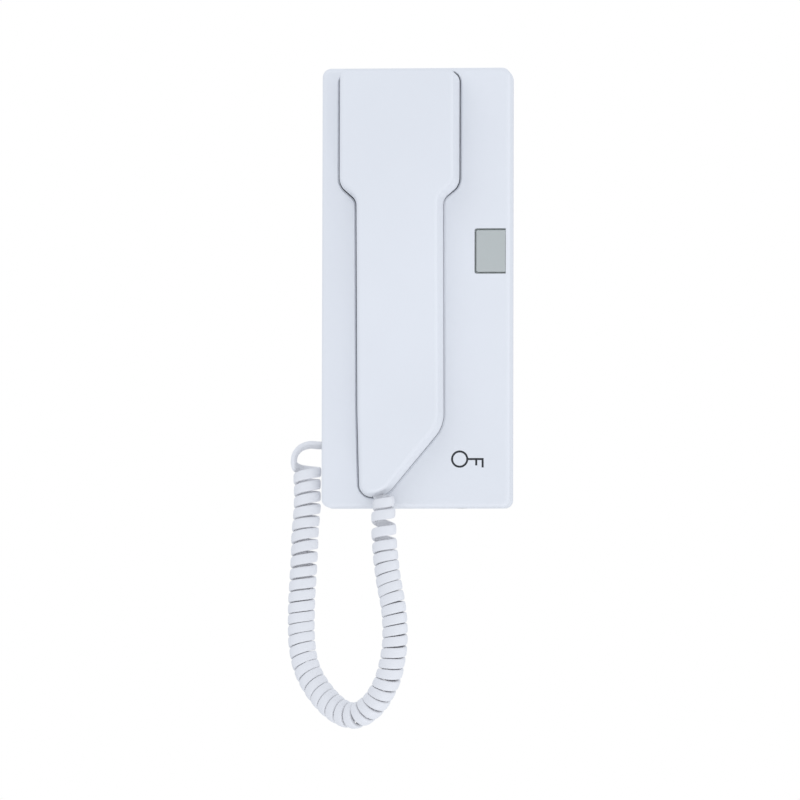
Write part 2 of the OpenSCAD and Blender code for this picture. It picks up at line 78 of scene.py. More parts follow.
# ---- Sizes in millimetres, repeated from the part but for the fine lines of its dark gaps ----

BASE_W, BASE_H, BASE_D = 94.5, 220.0, 26.0
CORNER_R, EDGE_R, WALL = 4.4, 2.4, 2.2
TRAY_D = 8.0
RECESS_Z = 14.0
RECESS_UNDER = RECESS_Z - WALL
GROOVE_GAP, GROOVE_CLOSE, GROOVE_DEEP = 1.1, 0.35, 1.6
RECESS_FIT, RECESS_TOP_EXTRA, RECESS_CORNER_R = 0.35, 0.65, 5.3
HANDSET_TOP_Y, HANDSET_TIP_Y = 107.5, -105.0
HANDSET_TOP_D, HANDSET_TIP_D = 44.0, 40.0
HANDSET_REAR = 14.8
HANDSET_EDGE, HANDSET_DRAFT, TOP_RISE = 2.0, 1.6, 2.0
SEAM = 27.5
GRIP_LEFT, GRIP_RIGHT = -29.5, 14.1
# The handset's outline down its left side, round the tip and up the right side. The grip's left
# side has a slight bend and its right side a slight slant.
HANDSET = [
    (-38.2, HANDSET_TOP_Y, 4.5),
    (-38.2, 51.0, 8.0),
    (GRIP_LEFT - 0.25, 43.6, 6.0),
    (GRIP_LEFT + 0.45, -62.0, 80.0),
    (GRIP_LEFT + 1.6, HANDSET_TIP_Y, 6.5),
    (GRIP_LEFT + 14.4, HANDSET_TIP_Y, 12.5),
    (GRIP_RIGHT + 0.15, -69.6, 18.0),
    (GRIP_RIGHT - 0.35, 44.1, 6.0),
    (21.8, 51.0, 8.0),
    (21.8, HANDSET_TOP_Y, 4.5),
]
# The groove in the front face is narrower at the grip's right side and at the lower end
GROOVE = [
    (
        x - GROOVE_CLOSE if abs(x - GRIP_RIGHT) < 1 else x,
        y + GROOVE_CLOSE if y == HANDSET_TIP_Y else y,
        RECESS_CORNER_R if y == HANDSET_TOP_Y else r,
    )
    for x, y, r in HANDSET
]
RECESS_RISE = {HANDSET_TOP_Y: RECESS_TOP_EXTRA, HANDSET_TIP_Y: 0.25}


def recess_shift(x):
    """How far the recess sits to the left of the handset, for each part of its outline."""
    if x > GRIP_RIGHT + 2:
        return 0.05
    return 0.35 if abs(x - GRIP_LEFT) < 2 else 0.25


# Below the groove the recess fits closely, but for some room above the handset's top
RECESS = [
    (
        x - recess_shift(x),
        y + RECESS_RISE.get(y, 0.0),
        RECESS_CORNER_R if y == HANDSET_TOP_Y else r,
    )
    for x, y, r in HANDSET
]
BUTTON_X0, BUTTON_X1 = 30.3, 44.85
BUTTON_Y, BUTTON_H, BUTTON_GAP = 18.0, 20.9, 0.85
BUTTON_TRAVEL, FLANGE_Z = 2.0, 22.0
HOOK_X, HOOK_Y = (GRIP_LEFT + GRIP_RIGHT) / 2, 22.0
HEAD_X, CRADLE_Y, HOOK_TILT = -8.2, 47.0, 4.0
EARPIECE, MOUTHPIECE = (HEAD_X, 78.0, HANDSET_REAR), (-13.0, -80.0, HANDSET_REAR)
HANDSET_SCREW_Y = (5.0, -62.0)
BASE_EXIT = (-47.25, -78.5, 13.0)
HANDSET_EXIT = (-18.5, -99.5, 29.2)
SCREW_X, SCREW_Z = 22.0, 12.0
CORD_WIDE, CORD_THICK = 5.0, 2.4


def world(p):
    """A point given in the part's millimetres, in the frame's metres."""
    return Vector((p[0] * MM, -p[2] * MM, p[1] * MM))


# ---- Camera ----


def make_camera():
    """A long lens, a little to the right of the phone and below it."""
    azimuth, elevation, roll = math.radians(5.44), math.radians(-3.13), 0.0025
    distance = 4.0
    aim = Vector((-0.009, -0.013, -0.0557))
    back = Vector(
        (
            math.sin(azimuth) * math.cos(elevation),
            -math.cos(azimuth) * math.cos(elevation),
            math.sin(elevation),
        )
    )
    data = bpy.data.cameras.new("camera")
    data.lens = 359.4
    data.sensor_width = 36.0
    data.clip_start, data.clip_end = 0.05, 60.0
    camera = bpy.data.objects.new("camera", data)
    camera.location = aim + distance * back
    turned = back.to_track_quat("Z", "Y") @ Quaternion((0, 0, 1), roll)
    camera.rotation_euler = turned.to_euler()
    scene.collection.objects.link(camera)
    scene.camera = camera


make_camera()

# ---- Meshes ----


def make_object(name, points, faces):
    """An object from points in the part's millimetres."""
    mesh = bpy.data.meshes.new(name)
    mesh.from_pydata([world(p) for p in points], [], faces)
    obj = bpy.data.objects.new(name, mesh)
    scene.collection.objects.link(obj)
    tidy_mesh(obj)
    return obj


def tidy_mesh(obj, merge=0.002 * MM):
    """Merges points that coincide and turns all faces outwards."""
    work = bmesh.new()
    work.from_mesh(obj.data)
    bmesh.ops.remove_doubles(work, verts=work.verts, dist=merge)
    bmesh.ops.dissolve_degenerate(work, edges=work.edges, dist=0.0005 * MM)
    bmesh.ops.recalc_face_normals(work, faces=work.faces)
    work.to_mesh(obj.data)
    work.free()


def smooth_mesh(obj, angle=38.0):
    """Smooth shading that keeps hard edges and keeps the large flat faces flat."""
    mesh = obj.data
    for polygon in mesh.polygons:
        polygon.use_smooth = True
    mesh.set_sharp_from_angle(angle=math.radians(angle))
    weighted = obj.modifiers.new("weighted", "WEIGHTED_NORMAL")
    weighted.keep_sharp = True
    weighted.weight = 80


def apply_modifiers(obj):
    graph = bpy.context.evaluated_depsgraph_get()
    made = bpy.data.meshes.new_from_object(obj.evaluated_get(graph))
    obj.modifiers.clear()
    old, obj.data = obj.data, made
    bpy.data.meshes.remove(old)


def combine(obj, others, operation):
    """Cuts the others out of obj, or adds them to it, and removes them."""
    for other in others:
        modifier = obj.modifiers.new("cut", "BOOLEAN")
        modifier.operation = operation
        modifier.solver = "EXACT"
        modifier.object = other
    apply_modifiers(obj)
    for other in others:
        bpy.data.objects.remove(other)


def cut(obj, others):
    combine(obj, others, "DIFFERENCE")


def add(obj, others):
    combine(obj, others, "UNION")


def strip(a, b):
    """Faces between two closed rows of point numbers."""
    n = len(a)
    return [(a[i], a[(i + 1) % n], b[(i + 1) % n], b[i]) for i in range(n)]


def triangles(points, ring):
    """An end as triangles, which a ring that bends inwards needs."""
    flat = [Vector(points[i]) for i in ring]
    return [tuple(ring[k] for k in t) for t in tessellate_polygon([flat])]


def one_face(_, ring):
    """An end as a single face."""
    return [tuple(ring)]


def stack(name, rows, end=triangles):
    """A solid through rows of points, closed at both ends."""
    points = [p for row in rows for p in row]
    n = len(rows[0])
    rings = [list(range(j * n, (j + 1) * n)) for j in range(len(rows))]
    faces = [f for a, b in zip(rings, rings[1:]) for f in strip(a, b)]
    faces += end(points, rings[0]) + end(points, rings[-1])
    return make_object(name, points, faces)


def box(name, low, high):
    corners = [(low[0], low[1]), (high[0], low[1]), (high[0], high[1]), (low[0], high[1])]
    return stack(name, [[(x, y, z) for x, y in corners] for z in (low[2], high[2])])


def direction(axis):
    return {"x": Vector((1, 0, 0)), "y": Vector((0, 1, 0)), "z": Vector((0, 0, 1))}[axis]


def turned_profile(name, centre, axis, profile, steps=48):
    """A round solid from (distance along the axis, radius) pairs."""
    along = direction(axis)
    side = direction("y" if axis == "x" else "x")
    other = along.cross(side)
    rows = []
    for at, radius in profile:
        middle = Vector(centre) + along * at
        rows.append(
            [
                middle
                + radius * math.cos(2 * math.pi * k / steps) * side
                + radius * math.sin(2 * math.pi * k / steps) * other
                for k in range(steps)
            ]
        )
    return stack(name, rows, one_face)


# ---- Outlines ----


def moved(path, off):
    """The corners of an outline moved outwards, with their radii to suit."""
    out = []
    for i, (x, y, r) in enumerate(path):
        before, after = Vector(path[i - 1][:2]), Vector(path[(i + 1) % len(path)][:2])
        corner = Vector((x, y))
        d1, d2 = (corner - before).normalized(), (after - corner).normalized()
        n1, n2 = Vector((d1.y, -d1.x)), Vector((d2.y, -d2.x))
        side = 1 if d1.cross(d2) > 0 else -1
        place = corner + off * (n1 + n2) / (1 + n1.dot(n2))
        out.append((place.x, place.y, r + side * off))
    return out


def outline(path, steps=10, spacing=1e9):
    """Points round a closed path with round corners: [(point, outward normal)].

    Straight runs get points no further apart than spacing."""
    out = []
    for i, (x, y, r) in enumerate(path):
        before, after = Vector(path[i - 1][:2]), Vector(path[(i + 1) % len(path)][:2])
        corner = Vector((x, y))
        d1, d2 = (corner - before).normalized(), (after - corner).normalized()
        n1 = Vector((d1.y, -d1.x))
        turn = math.atan2(d1.cross(d2), d1.dot(d2))
        side = 1 if turn > 0 else -1
        centre = corner - d1 * r * math.tan(abs(turn) / 2) - side * r * n1
        arc = []
        for k in range(steps + 1):
            a = turn * k / steps
            normal = Vector(
                (
                    n1.x * math.cos(a) - n1.y * math.sin(a),
                    n1.x * math.sin(a) + n1.y * math.cos(a),
                )
            )
            arc.append((centre + side * r * normal, normal))
        if out:
            out += between(out[-1], arc[0], spacing)
        out += arc
    return out + between(out[-1], out[0], spacing)


def between(a, b, spacing):
    """Points on a straight run, without its ends."""
    parts = max(1, math.ceil((b[0] - a[0]).length / spacing))
    return [(a[0].lerp(b[0], k / parts), a[1]) for k in range(1, parts)]


def rectangle(w, h, r, x=0.0, y=0.0):
    corners = [(-1, 1), (-1, -1), (1, -1), (1, 1)]
    return [(x + sx * w / 2, y + sy * h / 2, r) for sx, sy in corners]


def prism(name, path, z0, z1, steps=8):
    ring = [p for p, _ in outline(path, steps)]
    return stack(name, [[(p.x, p.y, z) for p in ring] for z in (z0, z1)])


def ease(t):
    """A smooth step from 0 to 1."""
    t = min(1.0, max(0.0, t))
    return t * t * (3 - 2 * t)


# ---- Front cover ----


def quarter(steps):
    """Angles of a quarter turn."""
    return [math.pi / 2 * k / steps for k in range(steps + 1)]


def round_edge(top, edge, parts):
    """A round edge up to a top: (inset, height) pairs."""
    return [(edge * (1 - math.cos(t)), top - edge * (1 - math.sin(t))) for t in quarter(parts)]


def window_cutter():
    """The door button's opening, flared a little at the front."""
    x0, x1 = BUTTON_X0 - BUTTON_GAP, BUTTON_X1 + 0.2
    y0, y1 = BUTTON_Y - BUTTON_H / 2 - BUTTON_GAP, BUTTON_Y + BUTTON_H / 2 + BUTTON_GAP
    rows = []
    for grow, z in [(0, 20.0), (0, 25.75), (0.05, 25.88), (0.13, 25.96), (0.3, 26.06), (0.3, 27)]:
        path = [
            (x0 - grow, y1 + grow, 1.1),
            (x0 - grow, y0 - grow, 1.1),
            (x1, y0 - grow, 0.25),
            (x1, y1 + grow, 0.25),
        ]
        rows.append([(p.x, p.y, z) for p, _ in outline(path, 6)])
    return stack("cutter", rows)


def rounded_block(name, path, z0, z1, foot, edge):
    """A solid on an outline, with a small round foot and a round edge at the front."""
    levels = [(foot * (1 - math.sin(t)), z0 + foot * (1 - math.cos(t))) for t in quarter(3)]
    levels += round_edge(z1, edge, 10)
    rows = []
    for shrink, z in levels:
        rows.append([(p.x, p.y, z) for p, _ in outline(moved(path, -shrink))])
    return stack(name, rows)


def groove_floor(p):
    """Height of the groove's floor, less deep along the grip's right side and the slanted end."""
    full, less = 1.12, 0.74
    share = ease((50 - p.y) / 8) * ease((p.x + 22) / 8)
    return BASE_D - GROOVE_DEEP * (full - less * share)


def recess_cutter():
    """The handset's recess and the shallow groove round its mouth."""
    mouth, fillet, ledge = 0.4, 0.5, 0.2
    rows = []

    def row(path, grow, rise, level=None):
        ring = [p for p, _ in outline(moved(path, grow))]
        floors = [groove_floor(p) if level is None else level for p in ring]
        rows.append([(p.x, p.y, floor + rise) for p, floor in zip(ring, floors)])

    for t in quarter(3):
        row(RECESS, RECESS_FIT - fillet * (1 - math.sin(t)), fillet * (1 - math.cos(t)), RECESS_Z)
    row(RECESS, RECESS_FIT, -ledge)
    row(RECESS, RECESS_FIT + ledge * 0.3, -ledge * 0.3)
    row(GROOVE, GROOVE_GAP - ledge, 0)
    row(GROOVE, GROOVE_GAP - ledge * 0.3, ledge * 0.3)
    # the round edge stops a little short of level and runs on straight, clear of the front face
    for k in range(6):
        t = math.radians(15 * k)
        row(GROOVE, GROOVE_GAP + mouth * (1 - math.cos(t)), mouth * (math.sin(t) - 1), BASE_D)
    row(GROOVE, GROOVE_GAP + mouth, 0.03, BASE_D)
    row(GROOVE, GROOVE_GAP + mouth, 1, BASE_D)
    return stack("cutter", rows)


def vent_cutters():
    """Five sound slots in the left side, beside the buzzer."""
    cutters = []
    for k in range(5):
        slot = rectangle(1.6, 9.0, 0.7, -27.2 + 4 * k, 15.5)
        ring = [p for p, _ in outline(slot, 5)]
        rows = [[(-BASE_W / 2 + dx, p.x, p.y) for p in ring] for dx in (-1, 3)]
        cutters.append(stack("cutter", rows))
    return cutters


def latch(x):
    """A snap that hooks the cover into the rear housing's top."""
    top = BASE_H / 2
    return [
        box("latch", (x - 5, top - 4.1, 3.9), (x + 5, top - 2.6, RECESS_UNDER + 1)),
        box("latch", (x - 5, top - 4.1, TRAY_D + 1.8), (x + 5, top - 1, RECESS_UNDER + 1)),
        box("latch", (x - 5, top - 3, 4), (x + 5, top - 1.4, 5.4)),
    ]


def make_front_cover():
    path = rectangle(BASE_W, BASE_H, CORNER_R)
    cover = rounded_block("front_cover_shell", path, TRAY_D, BASE_D, 0.35, EDGE_R)
    hollow = prism("cutter", moved(path, -WALL), TRAY_D - 1, BASE_D - WALL)
    cut(hollow, [prism("cutter", moved(RECESS, RECESS_FIT + WALL), RECESS_UNDER, BASE_D)])
    x, y, z = BASE_EXIT
    cord_hole = box("cutter", (x - 1, y - 4.1, z - 3.6), (x + 3, y + 4.1, z + 3.6))
    plunger_hole = turned_profile(
        "cutter",
        (HOOK_X, HOOK_Y, RECESS_Z),
        "z",
        [(-4, 5.5), (0.05 - WALL, 5.5), (0.05 - WALL, 4.2), (-0.35, 4.2), (0.2, 4.75), (3, 4.75)],
    )
    screw_hole = turned_profile(
        "cutter",
        (SCREW_X, -BASE_H / 2, SCREW_Z),
        "y",
        [(-1, 3.4), (0.05, 3.2), (0.3, 3.0), (1.3, 3.0), (1.3, 1.6), (4, 1.6)],
    )
    cut(cover, [hollow, recess_cutter()])
    cut(cover, [window_cutter(), cord_hole, plunger_hole, screw_hole] + vent_cutters())
    add(cover, latch(HOOK_X) + latch(33.0))
    tidy_mesh(cover)
    smooth_mesh(cover)
    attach(cover, "base")
    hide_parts("front_cover")
    return cover


# ---- Handset ----


def front_level(y):
    """Height of the handset's front face, which slopes from its head to its tip."""
    share = (y - HANDSET_TIP_Y) / (HANDSET_TOP_Y - HANDSET_TIP_Y)
    return HANDSET_TIP_D + (HANDSET_TOP_D - HANDSET_TIP_D) * share


def handset_rows(rings):
    """Rows through the handset's outline. A ring is (inset, z, share of the front's slope)."""
    loop = outline(HANDSET, spacing=12.0)
    rows = []
    for inset, z, slope in rings:
        made = []
        for p, normal in loop:
            x, y = p.x - inset * normal.x, p.y - inset * normal.y
            level = z + slope * (front_level(y) - HANDSET_TIP_D)
            # the top end leans back less than the sides
            made.append((x, y + slope * TOP_RISE * ease((y - 80) / 22), level))
        rows.append(made)
    return rows


def make_front_shell():
    rim = [
        (HANDSET_DRAFT + inset, z, 1) for inset, z in round_edge(HANDSET_TIP_D, HANDSET_EDGE, 8)
    ]
    lip = [(0.14, SEAM + 0.02, 0), (0.04, SEAM + 0.06, 0), (0, SEAM + 0.18, 0)]
    shell = stack("handset_front", handset_rows(lip + rim))
    hollow = stack(
        "cutter",
        handset_rows(
            [(WALL, SEAM - 1, 0), (WALL + HANDSET_DRAFT, HANDSET_TIP_D - WALL, 1)]
        ),
    )
    cut(shell, [hollow])
    x, y, z = HANDSET_EXIT
    half_w, half_t = CORD_WIDE / 2 + 0.3, CORD_THICK / 2 + 0.3
    cut(shell, [box("cutter", (x - half_w, -110, SEAM - 1), (x + half_w, y - 0.5, z + half_t))])
    tidy_mesh(shell)
    smooth_mesh(shell, 32)
    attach(shell, "handset")
    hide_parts("handset_front_shell")
    return shell


def sound_slots(at, r, count):
    """Upright slots through the rear half that fill a circle."""
    pitch = 2 * r / count
    cutters = []
    for k in range(count):
        x = -r + pitch * (k + 0.5)
        half = math.sqrt(r * r - x * x) - 0.8
        path = rectangle(1.6, 2 * half, 0.75, at[0] + x, at[1])
        cutters.append(prism("cutter", path, HANDSET_REAR - 1, HANDSET_REAR + WALL + 0.5, 6))
    return cutters


def make_rear_shell():
    rim = [
        (0.3 + HANDSET_EDGE * (1 - math.sin(t)), HANDSET_REAR + HANDSET_EDGE * (1 - math.cos(t)), 0)
        for t in quarter(8)
    ]
    lip = [(0, SEAM - 0.18, 0), (0.04, SEAM - 0.06, 0), (0.14, SEAM - 0.02, 0)]
    shell = stack("handset_rear", handset_rows(rim + lip))
    hollow = stack(
        "cutter", handset_rows([(WALL + 0.3, HANDSET_REAR + WALL, 0), (WALL, SEAM + 1, 0)])
    )
    cutters = [hollow]
    for y in HANDSET_SCREW_Y:
        cutters.append(
            turned_profile(
                "cutter",
                (HOOK_X, y, HANDSET_REAR),
                "z",
                [(-1, 3.6), (0, 3.4), (0.25, 3.1), (2.8, 3.1), (2.8, 1.6), (19, 1.6)],
            )
        )
    cutters += sound_slots(EARPIECE, 11.0, 7)
    cutters += sound_slots(MOUTHPIECE, 4.0, 3)
    # shallow ring round the earpiece
    outer = turned_profile("cutter", EARPIECE, "z", [(-1, 14.6), (0.0, 14.5), (0.5, 14.0)], 72)
    inner = turned_profile("cutter", EARPIECE, "z", [(-2, 13.0), (0.0, 13.1), (1.5, 13.6)], 72)
    cut(outer, [inner])
    cutters.append(outer)
    cutters.append(hook_shape("cutter", 0.45, -3.0, 9.0))
    cut(shell, cutters)
    tidy_mesh(shell)
    smooth_mesh(shell, 32)
    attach(shell, "handset")
    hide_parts("handset_rear_shell")
    return shell


def hook_shape(name, grow, start, end, edge=0.0):
    """The tilted tongue of the cradle, grown on its sides."""
    half_w, half_t = 9.0 + grow, 1.5 + grow
    tilt = math.radians(HOOK_TILT)
    path = rectangle(2 * half_w, 2 * half_t, max(0.3, half_t - 0.5))
    rows = []
    levels = [(0, start)] + (round_edge(end, edge, 4) if edge else [(0, end)])
    for shrink, level in levels:
        ring = outline(moved(path, -shrink) if shrink else path, 6)
        rows.append(
            [
                (
                    HEAD_X + p.x,
                    CRADLE_Y + p.y * math.cos(tilt) + level * math.sin(tilt),
                    RECESS_Z - p.y * math.sin(tilt) + level * math.cos(tilt),
                )
                for p, _ in ring
            ]
        )
    return stack(name, rows, one_face)


def make_cradle_hook():
    hook = hook_shape("cradle_tongue", 0.0, -3.0, 8.0, 0.6)
    cut(hook, [box("cutter", (-40, 20, 0), (30, 80, RECESS_Z))])
    tidy_mesh(hook)
    smooth_mesh(hook)
    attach(hook, "base")
    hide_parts("cradle_hook")
    return hook


# ---- Door button ----


def make_button():
    x0, x1 = BUTTON_X0, BUTTON_X1 + 0.13
    y0, y1 = BUTTON_Y - BUTTON_H / 2, BUTTON_Y + BUTTON_H / 2
    top, edge = BASE_D + 0.2, 0.5
    rows = []
    levels = [(0, FLANGE_Z)] + round_edge(top, edge, 5)
    # the top is very slightly dished
    levels += [(edge + 0.6, top - 0.015), (edge + 2.2, top - 0.07)]
    for shrink, z in levels:
        right = min(shrink, 0.12)
        path = [
            (x0 + shrink, y1 - shrink, max(0.35, 0.95 - shrink)),
            (x0 + shrink, y0 + shrink, max(0.35, 0.95 - shrink)),
            (x1 - right, y0 + shrink, 0.3),
            (x1 - right, y1 - shrink, 0.3),
        ]
        rows.append([(p.x, p.y, z) for p, _ in outline(path, 6)])
    button = stack("door_key", rows)
    flange = box("flange", (x0 - 1.6, y0 - 1.6, FLANGE_Z), (BUTTON_X1, y1 + 1.6, 23.6))
    foot = ((BUTTON_X0 + BUTTON_X1) / 2, BUTTON_Y, 13.4)
    post = turned_profile("post", foot, "z", [(0, 2.3), (0.2, 2.5), (9.5, 2.5)], 32)
    add(button, [flange, post])
    tidy_mesh(button)
    smooth_mesh(button, 35)
    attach(button, "door_button")
    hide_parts("door_button")
    return button


def make_button_spring():
    """The spring that lifts the button: a round wire coil."""
    x, y = (BUTTON_X0 + BUTTON_X1) / 2, BUTTON_Y
    low, high, radius, wire = 11.05, 21.93, 3.6, 0.35
    turns, per_turn = 6, 24
    steps = turns * per_turn
    rows = []
    for k in range(steps + 1):
        a = math.radians(360 / per_turn * k)
        z = low + wire + (high - low - 2 * wire) * k / steps
        ring = []
        for j in range(8):
            b = math.radians(45 * j)
            r = radius + wire * math.cos(b)
            ring.append((x + r * math.cos(a), y + r * math.sin(a), z + wire * math.sin(b)))
        rows.append(ring)
    spring = stack("button_return_spring", rows)
    tidy_mesh(spring)
    smooth_mesh(spring, 60)
    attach(spring, "base")
    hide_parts("button_spring")
    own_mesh(spring)
    return spring


# ---- Printed key outline ----


def make_mark():
    """A plain key outline in place of the picture mark, printed on the cover."""
    x, y, stroke = 17.9, -86.0, 1.0
    low, high = BASE_D - 0.06, BASE_D + 0.03
    bow = 4.3
    bow_x = x + bow
    ring = turned_profile("print", (bow_x, y, low), "z", [(0, bow), (high - low, bow)], 64)
    inside = [(0, bow - stroke), (3, bow - stroke)]
    cut(ring, [turned_profile("cutter", (bow_x, y, low - 1), "z", inside, 64)])
    end = x + 16.3
    bars = [
        (bow_x + bow - 0.3, y - stroke / 2, end, y + stroke / 2),
        (end - stroke, y - 4.2, end, y),
        (end - 3.2 - stroke, y - 3.2, end - 3.2, y),
    ]
    add(ring, [box("print", (a, b, low), (c, d, high)) for a, b, c, d in bars])
    tidy_mesh(ring)
    ring.name = "printed_key"
    smooth_mesh(ring)
    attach(ring, "base")
    return ring


# ---- Cord ----

COIL_ROUTE = [
    (-55.5, -89), (-55.5, -100), (-55.5, -111), (-56.5, -121), (-57, -136),
    (-58, -151), (-58.5, -166), (-58, -178.5), (-56, -188.5), (-52, -197),
    (-45, -206), (-37.5, -212), (-30, -214), (-24, -211.5), (-18.5, -206.5),
    (-13, -197), (-10.5, -188), (-9, -178.5), (-9, -168.5), (-10, -158.5),
    (-12, -149), (-13.5, -139), (-14.5, -129), (-15, -119), (-15, -108),
]  # fmt: skip
CORD_TURNS = 46.75
STEPS_PER_TURN = 36
# the last turns are drawn up close under the handset: how far, how many turns, and over how many
DRAWN_UP, DRAWN_TURNS, DRAWN_OVER = 3.2, 3.2, 2.8


def coil_depth(x):
    """The coil comes away from the wall as it runs from the base to the handset."""
    return 13 + (x + 57) / 2


def spline(points, parts):
    """Points of a smooth curve through the given ones."""
    out = []
    last = len(points) - 1
    for i in range(last):
        p1, p2 = points[i], points[i + 1]
        p0 = points[i - 1] if i else p1 + (p1 - p2)
        p3 = points[i + 2] if i + 2 <= last else p2 + (p2 - p1)
        for k in range(parts):
            t = k / parts
            out.append(
                0.5
                * (
                    2 * p1
                    + (p2 - p0) * t
                    + (2 * p0 - 5 * p1 + 4 * p2 - p3) * t * t
                    + (3 * p1 - p0 - 3 * p2 + p3) * t**3
                )
            )
    return out + [points[-1]]


def profile_at(table, u):
    """A value read off a table of (share of the way, value), eased between its rows."""
    for (u0, v0), (u1, v1) in zip(table, table[1:]):
        if u <= u1:
            return v0 + (v1 - v0) * ease((u - u0) / (u1 - u0))
    return table[-1][1]


# (share of the coil's way from the base, value): the room of a turn against the others, the
# coil's radius at the middle of the strand, and the slope of its turns
PITCH = [
    (0, 1.1), (0.1, 1.08), (0.2, 1.14), (0.26, 1.02), (0.36, 0.96), (0.55, 0.97), (0.8, 0.95),
    (0.9, 1.0), (0.93, 1.3), (0.965, 1.25), (0.98, 0.75), (1, 0.7),
]  # fmt: skip
RADIUS = [
    (0, 5.85), (0.05, 5.6), (0.45, 5.55), (0.6, 5.3), (0.8, 5.1), (0.93, 5.1), (0.96, 5.0), (1, 3.9),
]  # fmt: skip
TILT = [
    (0, 0.1), (0.15, 0.12), (0.24, 0.02), (0.5, 0), (0.85, 0), (0.92, -0.12), (0.96, -0.16), (1, 0),
]  # fmt: skip


def arc_lengths(points):
    """Distance along a row of points, at each of them."""
    out = [0.0]
    for a, b in zip(points, points[1:]):
        out.append(out[-1] + (b - a).length)
    return out


def find(table, value):
    """Where a value lies in a rising table: the entry below it, and the share of the step."""
    low = min(max(bisect_right(table, value) - 1, 0), len(table) - 2)
    return low, min(max((value - table[low]) / (table[low + 1] - table[low]), 0.0), 1.0)


def coil_line():
    """Points down the middle of the coiled cord, each with the coil's direction there."""
    axis = spline([Vector((x, y, coil_depth(x))) for x, y in COIL_ROUTE], 24)
    for _ in range(60):
        inner = [(a + 2 * b + c) / 4 for a, b, c in zip(axis, axis[1:], axis[2:])]
        axis = [axis[0]] + inner + [axis[-1]]
    lengths = arc_lengths(axis)

    def on_axis(share):
        low, t = find(lengths, share * lengths[-1])
        return axis[low].lerp(axis[low + 1], t)

    # turns made so far, at each step along the coil
    fine = 4000
    made = [0.0]
    for k in range(fine):
        share = (k + 0.5) / fine
        wobble = 1 + 0.05 * noise.noise(Vector((share * 31.0, 2.7, 0.4)))
        made.append(made[-1] + 1 / (profile_at(PITCH, share) * wobble))
    made = [CORD_TURNS * value / made[-1] for value in made]
    count = int(CORD_TURNS * STEPS_PER_TURN)
    side = Vector((-1, 0, 0))
    line = []
    # the strand leaves the coil a third of a turn early, at the back
    for k in range(count + 1 - STEPS_PER_TURN // 3):
        turn = CORD_TURNS * k / count
        low, t = find(made, turn)
        share = (low + t) / fine
        ahead = (on_axis(share + 0.006) - on_axis(share - 0.006)).normalized()
        side = (side - ahead * side.dot(ahead)).normalized()
        angle = 2 * math.pi * turn
        radius = profile_at(RADIUS, share)
        radius *= 1 + 0.018 * noise.noise(Vector((turn * 0.9, 7.1, 1.3)))
        lean = profile_at(TILT, share) + 0.05 * noise.noise(Vector((turn * 0.45, 0.3, 5.5)))
        out = math.cos(angle) * side + math.sin(angle) * ahead.cross(side)
        place = on_axis(share) + radius * out + ahead * lean * radius * math.sin(angle + 0.5)
        place += ahead * DRAWN_UP * ease((turn - CORD_TURNS + DRAWN_TURNS) / DRAWN_OVER)
        line.append((place, ahead))
    return line


def strand_halves(coil):
    """Half widths of the cord. Turns that are squeezed inside the bend get narrower."""
    halves = []
    for k, (place, ahead) in enumerate(coil):
        room = CORD_WIDE
        for j in (k - STEPS_PER_TURN, k + STEPS_PER_TURN):
            if 0 <= j < len(coil):
                room = min(room, 0.95 * abs((coil[j][0] - place).dot(ahead)))
        halves.append(room / 2)
    nearby = [halves[max(0, k - 5) : k + 6] for k in range(len(halves))]
    return [sum(part) / len(part) for part in nearby]


def carried(points, wide):
    """The wide direction carried along a row of points without twisting, starting from one."""
    out = []
    for a, b in zip(points, points[1:] + points[-1:]):
        tangent = (b - a).normalized() if b != a else out[-1][1]
        wide = (wide - tangent * wide.dot(tangent)).normalized()
        out.append((wide, tangent))
    return [wide for wide, _ in out]


def cord_line():
    """Points down the middle of the cord, each with its wide direction and half width."""
    coil = coil_line()
    halves = strand_halves(coil)
    x, y, z = BASE_EXIT
    start = spline(
        [
            Vector((x + 0.2, y, z)),
            Vector((x - 3.3, y + 0.15, z + 0.1)),
            Vector((x - 7.3, y + 0.3, z + 0.8)),
            Vector((x - 11.4, y - 1.2, z + 2.0)),
            Vector((x - 14.0, y - 4.4, z + 3.3)),
            Vector((x - 14.7, y - 7.8, z + 3.6)),
            Vector((x - 14.5, y - 10.0, z + 2.6)),
            coil[0][0],
            coil[2][0],
        ],
        10,
    )[:-11]
    x, y, z = HANDSET_EXIT
    end = spline(
        [
            coil[-3][0],
            coil[-1][0],
            Vector((x + 1.85, y - 6.55, z + 0.75)),
            Vector((x + 0.9, y - 5.9, z + 0.4)),
            Vector((x + 0.23, y - 4.95, z + 0.1)),
            Vector((x, y - 3.8, z)),
            Vector((x, y + 0.4, z)),
        ],
        10,
    )[11:]
    before = carried([coil[0][0]] + start[::-1], coil[0][1])[:0:-1]
    after = carried([coil[-1][0]] + end, coil[-1][1])[1:]
    full = CORD_WIDE / 2
    line = []
    for i, (place, wide) in enumerate(zip(start, before)):
        line.append((place, wide, full + (halves[0] - full) * ease(i / len(start))))
    line += [(place, ahead, half) for (place, ahead), half in zip(coil, halves)]
    for i, (place, wide) in enumerate(zip(end, after)):
        share = ease(i / (len(end) - 1))
        wide = wide.lerp(Vector((math.copysign(1.0, wide.x), 0, 0)), share)
        line.append((place, wide, halves[-1] + (full - halves[-1]) * share))
    return line


